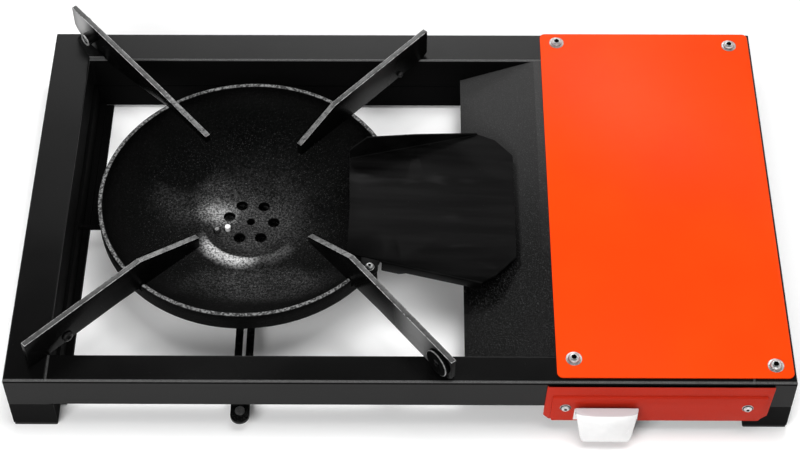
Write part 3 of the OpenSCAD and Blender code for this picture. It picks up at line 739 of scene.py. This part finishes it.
def make_bowl():
    """The casting: a dished inside with a raised step round the gas holes, a flat rim and an upright band."""
    bowl = turned("bowl_casting", BOWL_FLOOR + BOWL_STEP + BOWL_DISH + BOWL_RIM + BOWL_WALL + BOWL_BACK
                  + BOWL_UNDER, 192)
    for k, (x, y, r) in enumerate(BOWL_HOLES):
        drill = turned(f"drill_{k}", ((r, 20), (r, 28.2), (r + 0.25, 28.7), (r + 0.9, 29.05),
                                      (r + 1, 34)), 32)
        cut(bowl, stand(drill, moved(x, y, 0)))
    stand(bowl, moved(BOWL_X, BOWL_Y, 0))
    for name, z in SLOT_FLOORS:
        long = ARMS[name].top[-1][0] - 10
        slot = block("slot_tool", (SLOT_START + long / 2, 0, z + SLOT_HIGH / 2), (long, SLOT_WIDE, SLOT_HIGH))
        cut(bowl, stand(slot, arm_place(name)))
    paint(smooth(bowl, 40), FINISHES["cast_black"], SHADE_BLACK)
    # the gas holes' walls take the near-black coat as painted shade
    middles = [(Vector(metres(BOWL_X + x, BOWL_Y + y, 0)), (r + 1.2) * mm) for x, y, r in BOWL_HOLES]
    assign(bowl, 1, lambda at, out: at.z < (FLOOR_LEVEL + 0.2) * mm and out.z < 0.97 and any(
        (at - middle).xy.length < reach for middle, reach in middles))
    hand_over(bowl, "frame", "cast_black", "bowl")


# ------------ guard
SHEET = 1.5
SHEET_LEFT, SHEET_RIGHT = -45.6, 99.8
SHEET_MIDDLE = (26, -10)
FAR_START, FAR_END = (-46.5, 39), (67, 72.7)
NEAR_START, NEAR_END = (-45.5, -69.5), (68.5, -94.3)
SHEET_SIDES = ((FAR_START, FAR_END), (FAR_END, (84, 66)), ((84, 66), (99.8, 48.6)),
               ((99.8, -65.2), (80.8, -86.6)), ((80.8, -86.6), NEAR_END), (NEAR_END, NEAR_START))
ON_SIDE, AT_PLACE = 1.2 * mm, 1.6 * mm  # how near a corner has to be to belong to a side or a place on it
WAVES = ((8, 0.3), (-14, 1.0), (-42, 0.5))  # where the left side bows, and how far
FAR_HEIGHTS = ((0, 12), (4, 15.5), (16, 25), (60, 16.8), (118.4, 2.5))  # place along the far flange, height
FAR_PULL = 4  # height of the far flange before each place gets its own
NEAR_CUTS, NEAR_FROM, NEAR_DEPTH, NEAR_DIP, NEAR_DIP_END = (30.5, 46), 30, 8.75, 3, 50
FOLD_RADIUS = 1.8
TAB_MIDDLE, TAB_SIZE, TAB_ROUNDING, TAB_OUTER = (-26.2, -80, SHEET / 2), (14.4, 16, SHEET), 3.5, -85
GUARD_HINGE, GUARD_LEVEL, GUARD_FALL = -46, 71.2, radians(3.4)


def make_guard():
    """One folded sheet: plate, a tall flange at its far side, a short one at its near side and a lug tab."""
    sheet = begin("plane", "guard_sheet", size=0.4, location=metres(26.65, -10.8, SHEET / 2))
    slice_at(sheet, metres(SHEET_LEFT, 0, 0), (-1, 0, 0), trim=True, fill=False)
    slice_at(sheet, metres(SHEET_RIGHT, 0, 0), (1, 0, 0), trim=True, fill=False)
    for (ax, ay), (bx, by) in SHEET_SIDES:
        across = Vector((by - ay, ax - bx, 0)).normalized()
        if (Vector((*SHEET_MIDDLE, 0)) - Vector((ax, ay, 0))).dot(across) > 0:
            across.negate()
        inset = SHEET / 2 if (ax, ay) in (FAR_START, NEAR_END) else 0
        slice_at(sheet, Vector(metres(ax, ay, SHEET / 2)) - across * inset * mm, across, trim=True,
                 fill=False)
    for y, bow in WAVES:
        slice_at(sheet, metres(0, y, 0), (0, 1, 0))
        shift_corners(sheet, lambda p: p.x < (SHEET_LEFT + 0.3) * mm and abs(p.y - y * mm) < TOUCHING,
                      metres(bow, 0, 0))

    def side(first, last):
        """A side's start and direction, and a test for points on its line."""
        start = Vector(metres(*first, SHEET / 2))
        along = Vector((last[0] - first[0], last[1] - first[1], 0)).normalized()
        return start, along, lambda p: abs((p - start).cross(along).z) < ON_SIDE

    start, along, far = side(FAR_START, FAR_END)
    for place, height in FAR_HEIGHTS[1:-1]:
        slice_at(sheet, start + along * place * mm, along)
    draw_out(sheet, lambda a, b: far(a) and far(b), FAR_PULL)
    for place, height in FAR_HEIGHTS:
        shift_corners(sheet, lambda p: p.z > 2 * mm and abs((p - start).dot(along) - place * mm) < AT_PLACE,
                      metres(0, 0, height - FAR_PULL - SHEET / 2))

    first, edge, near = side(NEAR_START, NEAR_END)
    for place in NEAR_CUTS:
        slice_at(sheet, first + edge * place * mm, edge)

    def flange(p):
        return near(p) and (p - first).dot(edge) > NEAR_FROM * mm

    draw_out(sheet, lambda a, b: all(flange(p) and abs(p.z) < 2 * mm for p in (a, b)), -NEAR_DEPTH)
    shift_corners(sheet, lambda p: p.z < -2 * mm and (p - first).dot(edge) < NEAR_DIP_END * mm,
                  metres(0, 0, -NEAR_DIP))
    curve_edges(sheet, lambda a, b: all(abs(p.z - SHEET / 2 * mm) < TOUCHING for p in (a, b))
                and (far(a) and far(b) or flange(a) and flange(b)), FOLD_RADIUS, 4)
    apply_modifier(sheet, "SOLIDIFY", thickness=SHEET * mm, offset=0, use_even_offset=True)
    tab = block("guard_tab", TAB_MIDDLE, TAB_SIZE)
    curve_edges(tab, lambda a, b: max(a.y, b.y) < TAB_OUTER * mm and abs(a.x - b.x) < SAME, TAB_ROUNDING, 5)
    for piece in (sheet, tab):
        # the roundings of sheet and tab take a pale painted highlight
        round_edges(piece, 0.28, 2, 50, 1)
    guard = paint(smooth(join("guard_sheet", sheet, tab), 40), FINISHES["guard_dark"], PALE_HIGHLIGHT_AND_WEAR)
    fall = moved(GUARD_HINGE, SHIFT_Y, GUARD_LEVEL) @ Matrix.Rotation(GUARD_FALL, 4, "Y")
    hand_over(stand(guard, fall @ moved(-GUARD_HINGE, 0, 0)), "frame", "guard_dark", "heat_guard")


# ------------ cover and screws
COVER_MIDDLE, COVER_SIZE = (226, 2 + SHIFT_Y, 66.9), (194, 387, 1.8)
COVER_TOP, COVER_CORNER = 67.8, 5
COVER_SCREWS = ((144.3, 183.5), (304.7, 180.2), (143.3, -173.5), (308.4, -179.7))
COVER_SCREW_TURN = 0.9  # from one socket to the next


def make_cover():
    plate = block("cover_plate", COVER_MIDDLE, COVER_SIZE)
    curve_edges(plate, lambda a, b: abs(a.z - b.z) > mm, COVER_CORNER, 8)
    round_edges(plate, 0.55, 3, 50)
    paint(smooth(plate, 30), FINISHES["cover_orange"])
    hand_over(plate, "frame", "cover_orange", "cover")


def flanged_screw(name, flange, crown, socket):
    """Button-head screw on its own flange, with a hexagon socket; radii of the three."""
    head = turned(name, ((crown * 0.55, 3.4), (crown * 0.75, 3.15), (crown * 0.92, 2.5), (crown, 1.6),
                         (crown + 0.15, 1.1), (flange * 0.93, 0.95), (flange, 0.75), (flange + 0.05, 0.4),
                         (flange - 0.1, 0), (crown * 0.6, 0)), 48)
    cut(head, rod("drive", socket, 4, 3.4))
    paint(head, FINISHES["screw_steel"], SHADE_BLACK)
    # painted shade in the socket and in the crease at the crown's foot
    assign(head, 1, lambda at, out: at.z < 3.2 * mm and at.xy.length < socket * 0.98 * mm
           or crown * mm < at.xy.length < (crown + 0.5) * mm and at.z > 0.9 * mm)
    return head


def make_cover_screws():
    one = flanged_screw("cover_screw", 6.75, 4.9, 2.5)
    round_edges(one, 0.1, 1, 50)
    screws = [stand(copy_of(one), moved(x, y + SHIFT_Y, COVER_TOP)
                    @ Matrix.Rotation(k * COVER_SCREW_TURN, 4, "Z"))
              for k, (x, y) in enumerate(COVER_SCREWS)]
    bpy.data.objects.remove(one)
    hand_over(smooth(join("cover_screw_heads", *screws), 30), "frame", "screw_steel", "cover_screws")


# ------------ bosses and screws
BOSS_PLATE = ((3.05, 0.3), (12.0, 0.3), (12.5, 0.8), (12.5, 3.2), (12.3, 3.7), (11.8, 4.0), (4.2, 4.0),
              (3.75, 3.7), (3.65, 3.2), (3.65, 2.2), (3.05, 2.2), (3.05, 0.3))
BOSS_BARREL = ((2.02, 0), (6, 0), (6, 9.2), (5.85, 9.7), (5.4, 10), (4.3, 10), (3.98, 9.7), (3.92, 9.2),
               (3.92, 6.4), (2.02, 6.4), (2.02, 0))
BARREL_PLACE = (33.4, 86.2)
SUNK_ARM = "front_right"
SUNK_SCREW = ((1.9, 4.9), (2.9, 4.7), (3.4, 4.3), (3.55, 3.8), (3.55, 2.25), (3, 2.2), (3, -8.6),
              (2.6, -8.75))
FLUSH_SCREW = ((0.7, -0.42), (2.3, -0.36), (2.75, -0.2), (3, -0.5), (3, -8.6), (2.6, -8.75))
# arm, place along it and height, shank, how far out it sits, radius, finish
STOP_SCREWS = (("front_left", (40, 71.6), 1.98, 0, 4.9, DARK_SCREW),
               ("rear_right", (37.8, 69.4), 1.48, 0, 2.6, DARK_SCREW),
               ("rear_left", BARREL_PLACE, 1.98, 6.4, 3.85, FINISHES["screw_steel"]))
LUG_RING, LUG_ANGLE = 136, radians(37.5)
BOLT_TURN = 0.3


def make_bosses():
    # the front right boss plate is coated near-black as a painted dark reflection, with a pale painted
    # highlight on its rim
    plate = paint(turned("boss_front_right_plate", BOSS_PLATE, 64, hollow=True), SHADE_BLACK, PALE_HIGHLIGHT_AND_WEAR)
    assign(plate, 1, lambda at, out: 3.2 * mm < at.z < 3.99 * mm and at.xy.length > 11.5 * mm)
    hand_over(stand(smooth(plate, 40), across_arm(SUNK_ARM, *ARMS[SUNK_ARM].pivot, 0)),
              "frame", "blade_black", "boss_front_right")
    barrel = turned("boss_rear_left_barrel", BOSS_BARREL, 48, hollow=True)
    paint(barrel, FINISHES["blade_black"], EDGE)
    # the barrel's end takes a pale painted highlight
    assign(barrel, 1, lambda at, out: 9.2 * mm < at.z)
    hand_over(stand(smooth(barrel, 40), across_arm("rear_left", *BARREL_PLACE, 0)),
              "rl_arm", "blade_black", "boss_rear_left")


def make_stop_screws():
    """Small round-topped screws seen end on, with a six-sided socket and a shank."""
    for arm, (s, z), shank, out, radius, finish in STOP_SCREWS:
        below = 4.9 + out
        screw = turned(f"cross_screw_{arm}", (
            (radius * 0.45, 2.35), (radius * 0.72, 2.25), (radius * 0.9, 1.85), (radius * 0.98, 1.3),
            (radius, 0.7), (radius * 0.97, 0.12), (radius * 0.93, 0), (shank, 0), (shank, -below),
            (shank * 0.5, -below)), 40)
        cut(screw, rod("drive", radius * 0.48, 3, 2.5))
        paint(smooth(screw, 35), finish)
        hand_over(stand(screw, across_arm(arm, s, z, out)), ARMS[arm].body, "screw_steel",
                  f"stop_screw_{arm}")


def make_pivot_screws():
    """Cut flush with three of the blades; the fourth has a head sunk in its boss."""
    screws = []
    for name, arm in ARMS.items():
        sunk = name == SUNK_ARM
        one = turned("pivot", SUNK_SCREW if sunk else FLUSH_SCREW, 40)
        if sunk:
            cut(one, rod("drive", 2, 3, 4.9))
        screws.append(stand(one, across_arm(name, *arm.pivot, 0)))
    heads = paint(smooth(join("pivot_screw_ends", *screws), 35), DARK_SCREW, SHADE_BLACK)
    head = across_arm(SUNK_ARM, *ARMS[SUNK_ARM].pivot, 3).translation
    # painted shade on the sunk head's faces that don't face up
    assign(heads, 1, lambda at, out: (at - head).length < 6 * mm and out.z < 0.55)
    hand_over(heads, "frame", "screw_steel", "pivot_screws")


def make_guard_bolt():
    bolt = flanged_screw("guard_bolt", 4.0, 3.3, 1.5)
    bolt = join("guard_bolt", bolt, turned("guard_bolt_shank", ((2, 0.2), (2, -9.6), (1.7, -9.85)), 32))
    lug = moved(BOWL_X + LUG_RING * cos(LUG_ANGLE), SHIFT_Y - LUG_RING * sin(LUG_ANGLE),
                GUARD_LEVEL + SHEET / 2)
    hand_over(stand(smooth(bolt, 30), lug @ Matrix.Rotation(BOLT_TURN, 4, "Z")),
              "frame", "screw_steel", "guard_bolts")


# ------------ front panel
PANEL_FACE = -195.65 + SHIFT_Y
PANEL_SHEET, FIELD_OUT, FIELD_IN = 1.5, 3.3, 0.2  # depths from the frame's face
PANEL_OUTLINE = ((124, 14.6), (119.6, 20), (121.2, 60.5), (122.2, 61.5), (306.8, 61.5), (308, 60.1),
                 (306, 20), (301, 14.6))
FIELD_OUTLINE = ((126.5, 14.6), (125.2, 20), (126.2, 47.6), (128, 49.2), (302.4, 49.2), (303.8, 47.6),
                 (302, 20), (299, 14.6))
ROLL_RADIUS, ROLL_Z = 2.6, 46.6
ROLL_CUTS = (15, 33, 51, 69)
PANEL_SCREW_X, PANEL_SCREW_Z, PANEL_SCREW_TURN = (137.3, 287.9), 34, 0.7
PANEL_SCREW_FLATTEN = 0.72
PANEL_BORES = (*((x, PANEL_SCREW_Z, 2.2) for x in PANEL_SCREW_X), (171, 22.8, 3.2))


def cut_plate(name, points, front, back):
    """A plate sawn from a block along a convex outline of (x, z) points, between two depths in y."""
    xs, zs = [x for x, z in points], [z for x, z in points]
    middle = Vector((sum(xs) / len(xs), 0, sum(zs) / len(zs)))
    plate = block(name, ((min(xs) + max(xs)) / 2, (front + back) / 2, (min(zs) + max(zs)) / 2),
                  (max(xs) - min(xs), back - front, max(zs) - min(zs)))
    for (x0, z0), (x1, z1) in zip(points, points[1:] + points[:1]):
        out = Vector((z1 - z0, 0, x0 - x1)).normalized()
        if (middle - Vector((x0, 0, z0))).dot(out) > 0:
            out.negate()
        slice_at(plate, metres(x0, 0, z0), out, trim=True)
    return plate


def make_panel():
    """Folded panel: a back sheet with chamfered corners and a raised field whose top edge is rolled."""
    back = cut_plate("panel_back", PANEL_OUTLINE, PANEL_FACE - PANEL_SHEET, PANEL_FACE)
    round_edges(back, 0.4, 2, 40)
    field = cut_plate("panel_field", FIELD_OUTLINE, PANEL_FACE - FIELD_OUT, PANEL_FACE - FIELD_IN)
    axle = Vector(metres(0, PANEL_FACE - FIELD_OUT + ROLL_RADIUS, ROLL_Z))
    for turn in ROLL_CUTS:
        out = Vector((0, -cos(radians(turn)), sin(radians(turn))))
        slice_at(field, axle + out * ROLL_RADIUS * mm, out, trim=True)
    round_edges(field, 0.3, 2, 40)
    for plate in (back, field):
        for x, z, radius in PANEL_BORES:
            cut(plate, stand(rod("bore", radius, 6, sides=32),
                             moved(x, PANEL_FACE - 2, z) @ Matrix.Rotation(pi / 2, 4, "X")))
    panel = paint(smooth(join("front_panel", back, field), 35), FINISHES["panel_red"])
    hand_over(panel, "frame", "panel_red", "control_panel")


def make_panel_screws():
    screws = []
    for k, x in enumerate(PANEL_SCREW_X):
        head = flanged_screw("panel_screw", 4.65, 3.6, 1.45)
        stand(head, Matrix.Diagonal((1, 1, PANEL_SCREW_FLATTEN, 1)))
        shank = turned("shank", ((2, 0.05), (2, -3.2), (1.7, -3.3)), 24)
        screws.append(stand(join("panel_screw", head, shank), moved(x, PANEL_FACE - FIELD_OUT, PANEL_SCREW_Z)
                            @ Matrix.Rotation(pi / 2, 4, "X")
                            @ Matrix.Rotation(k * PANEL_SCREW_TURN, 4, "Z")))
    hand_over(smooth(join("panel_screw_heads", *screws), 30), "frame", "screw_steel", "panel_screws")


# ------------ lever
LEVER_X, LEVER_TOP, LEVER_LOW, LEVER_HALF = 171.2, 38.4, 8.2, 26.0
# height, half width, front at the sides, back, and how far the middle bulges forward and down
Row = namedtuple("Row", "z half front back forward down")
LEVER_ROWS = [Row(*row) for row in (
    (38.4, 26.0, -203.0, -202.3, 0.0, 0.0), (37.2, 25.9, -204.6, -201.9, 5.0, 2.2),
    (36.3, 25.7, -205.5, -202.4, 5.6, 2.5), (31.5, 24.8, -207.6, -204.0, 5.6, 1.0),
    (26.0, 23.8, -209.8, -206.8, 4.8, 0.0), (20.0, 22.6, -212.2, -209.4, 3.6, 0.0),
    (14.5, 21.5, -214.2, -211.8, 2.2, 0.0), (11.0, 20.4, -215.6, -213.4, 1.1, 0.0),
    (9.0, 18.6, -216.3, -214.4, 0.3, 0.0), (8.2, 16.0, -215.8, -214.9, 0.0, 0.0))]
LEVER_COLUMNS = 12
BULGE_POWER = 2.2
CHEEK, CHEEKS_X = ((-202.4, 32.1), (-204.6, 35.6), (-211, 22), (-207, 20.4), (-201.9, 29)), (-22.6, 20.6)
FORK, FORKS_X = ((-208.2, 26.4), (-211.8, 18.4), (-201.4, 18.4), (-201.4, 26.4)), (-5.2, 2.8)
RIB_THICK = 2
FORK_SLOT, FORK_SLOT_SIZE = (-204.45 + SHIFT_Y, 0, 22.2), (3.7, 10, 4.6)


def lever_shell():
    """A block sliced into rows and columns, each row moved to its depth, bulged, narrowed and sagged."""
    shell = block("lever_cover", (LEVER_X, 0, (LEVER_TOP + LEVER_LOW) / 2),
                  (2 * LEVER_HALF, 10, LEVER_TOP - LEVER_LOW))
    for row in LEVER_ROWS[1:-1]:
        slice_at(shell, metres(0, 0, row.z), (0, 0, 1))
    columns = [LEVER_X - LEVER_HALF + 2 * LEVER_HALF * k / LEVER_COLUMNS for k in range(1, LEVER_COLUMNS)]
    swells = [1 - abs((x - LEVER_X) / LEVER_HALF) ** BULGE_POWER for x in columns]
    for x in columns:
        slice_at(shell, metres(x, 0, 0), (1, 0, 0))

    def in_front(p, row):
        return p.y < (row.front + SHIFT_Y + 0.2) * mm

    with edit(shell, "VERT"):
        for row in LEVER_ROWS:
            for face, depth in ((-5, row.front), (5, row.back)):
                pick(shell, "corners",
                     lambda p: abs(p.z - row.z * mm) < TOUCHING and abs(p.y - face * mm) < TOUCHING)
                bpy.ops.transform.translate(value=metres(0, depth + SHIFT_Y - face, 0))
        for row in LEVER_ROWS:
            for x, swell in zip(columns, swells):
                pick(shell, "corners", lambda p: abs(p.z - row.z * mm) < TOUCHING
                     and abs(p.x - x * mm) < TOUCHING and in_front(p, row))
                bpy.ops.transform.translate(value=metres(0, -row.forward * swell, 0))
            pick(shell, "corners", lambda p: abs(p.z - row.z * mm) < TOUCHING)
            bpy.ops.transform.resize(value=(row.half / LEVER_HALF, 1, 1),
                                     center_override=metres(LEVER_X, 0, 0))
        for row in LEVER_ROWS:
            for x, swell in zip(columns, swells):
                place = LEVER_X + (x - LEVER_X) * row.half / LEVER_HALF
                pick(shell, "corners", lambda p: abs(p.z - row.z * mm) < UNMOVED
                     and abs(p.x - place * mm) < TOUCHING and in_front(p, row))
                bpy.ops.transform.translate(value=metres(0, 0, -row.down * swell))
    round_edges(shell, 0.45, 3, 32)
    return shell


def make_lever():
    """Moulded lever: a sloping top face, a bulged front that narrows to a rounded tip, ribs for the pin."""
    shell = lever_shell()
    ribs = []
    for name, outline, places in (("cheek", CHEEK, CHEEKS_X), ("fork", FORK, FORKS_X)):
        for k, x in enumerate(places):
            rib = cut_plate(f"lever_{name}_{k}", tuple((y + SHIFT_Y, z) for y, z in outline), -RIB_THICK, 0)
            if name == "fork":
                cut(rib, block("fork_slot", FORK_SLOT, FORK_SLOT_SIZE))
            ribs.append(stand(rib, moved(LEVER_X + x, 0, 0) @ Matrix.Rotation(pi / 2, 4, "Z")))
    for rib in ribs:
        round_edges(rib, 0.25, 2, 40)
    lever = paint(smooth(join("gas_lever_shell", shell, *ribs), 38), FINISHES["lever_white"])
    hand_over(lever, "gas_lever", "lever_white", "control_lever")


# ------------ stage
FLOOR_SIZE, FLOOR_WHITE, FLOOR_LIFT = 8, 0.97, 0.06
# what glossy faces mirror: height of the direction (0 level or below, 1 straight up), brightness
MIRRORED = ((0.0, 0.25), (0.5, 0.15), (0.62, 0.3), (0.68, 1.0), (0.705, 0.8), (0.722, 0.4), (0.745, 0.14),
            (0.775, 0.045), (0.82, 0.012), (1.0, 0.005))
MIRROR_MIDDLE, MIRROR_LOSS, MIRROR_LEAST = 13.5, -46.0, 4.0
AIR_STRENGTH = 0.2
# name, place, aim, width, depth, power
LAMPS = (("overhead", (0.22, 0.1, 2.0), (0.1, 0, 0), 1.2, 1.2, 31),
         ("front", (-0.8, -1.5, 1.3), (-0.15, -0.2, 0), 1.2, 0.7, 28),
         ("key", (0.35, 0.4, 2.1), (0, 0, 0), 0.4, 0.4, 6))


def pale_floor():
    """White floor that keeps the stand's shadow; what lies open to the lamps shows as white."""
    floor = begin("plane", "floor", size=FLOOR_SIZE)
    ground = Finish("floor_white", Base_Color=(FLOOR_WHITE,) * 3, Roughness=0.9, Specular_IOR_Level=0)
    lift = ground.node("Emission", {}, {"Color": (FLOOR_LIFT,) * 3, "Strength": ground.ray("Is Camera Ray")})
    ground.show("Material Output", ground.node("AddShader", {}, {0: ground.shaded, 1: lift}))
    paint(floor, ground.material)


def light_room():
    """An even dim room in which glossy faces mirror one soft bright band, strongest straight ahead;
    the camera itself sees plain white."""
    world = bpy.data.worlds.new("room")
    bpy.context.scene.world = world
    room = Nodes(world)

    def sky(shade, strength):
        return room.node("Background", {}, {"Color": shade, "Strength": strength})

    def choose(ray, no, yes):
        return room.node("MixShader", {}, {0: room.ray(ray), 1: no, 2: yes})

    x, z = room.split(room.node("TexCoord", {}, {}, "Generated"), "XZ")
    band = room.node("ValToRGB", {}, {0: z})
    stops = band.socket.node.color_ramp.elements
    for place, level in MIRRORED:
        stop = stops[0] if place == 0 else stops[-1] if place == 1 else stops.new(place)
        stop.color = (level, level, level, 1)
    mirrored = sky(band, (abs(x) * MIRROR_LOSS + MIRROR_MIDDLE).at_least(MIRROR_LEAST))
    white = (1, 1, 1)
    lit = choose("Is Glossy Ray", sky(white, AIR_STRENGTH), mirrored)
    room.show("World Output", choose("Is Camera Ray", lit, sky(white, 1)))


def soft_lamp(name, place, aim, width, depth, power):
    """A flat lamp that glossy faces don't mirror."""
    lamp = bpy.data.lights.new(name, "AREA")
    lamp.shape, lamp.size, lamp.size_y, lamp.energy = "RECTANGLE", width, depth, power
    holder = bpy.data.objects.new(name, lamp)
    holder.visible_glossy = False
    bpy.context.scene.collection.objects.link(holder)
    back = (Vector(place) - Vector(aim)).normalized()
    holder.matrix_world = Matrix.Translation(place) @ back.to_track_quat("Z", "Y").to_matrix().to_4x4()


place_camera()
pale_floor()
light_room()
for lamp in LAMPS:
    soft_lamp(*lamp)
dress_frame()
for arm in ARMS:
    make_arm(arm)
make_bowl()
make_guard()
make_cover()
make_cover_screws()
make_bosses()
make_stop_screws()
make_pivot_screws()
make_guard_bolt()
make_panel()
make_panel_screws()
make_lever()

bpy.context.scene.view_settings.view_transform = "Standard"
bpy.context.view_layer.update()
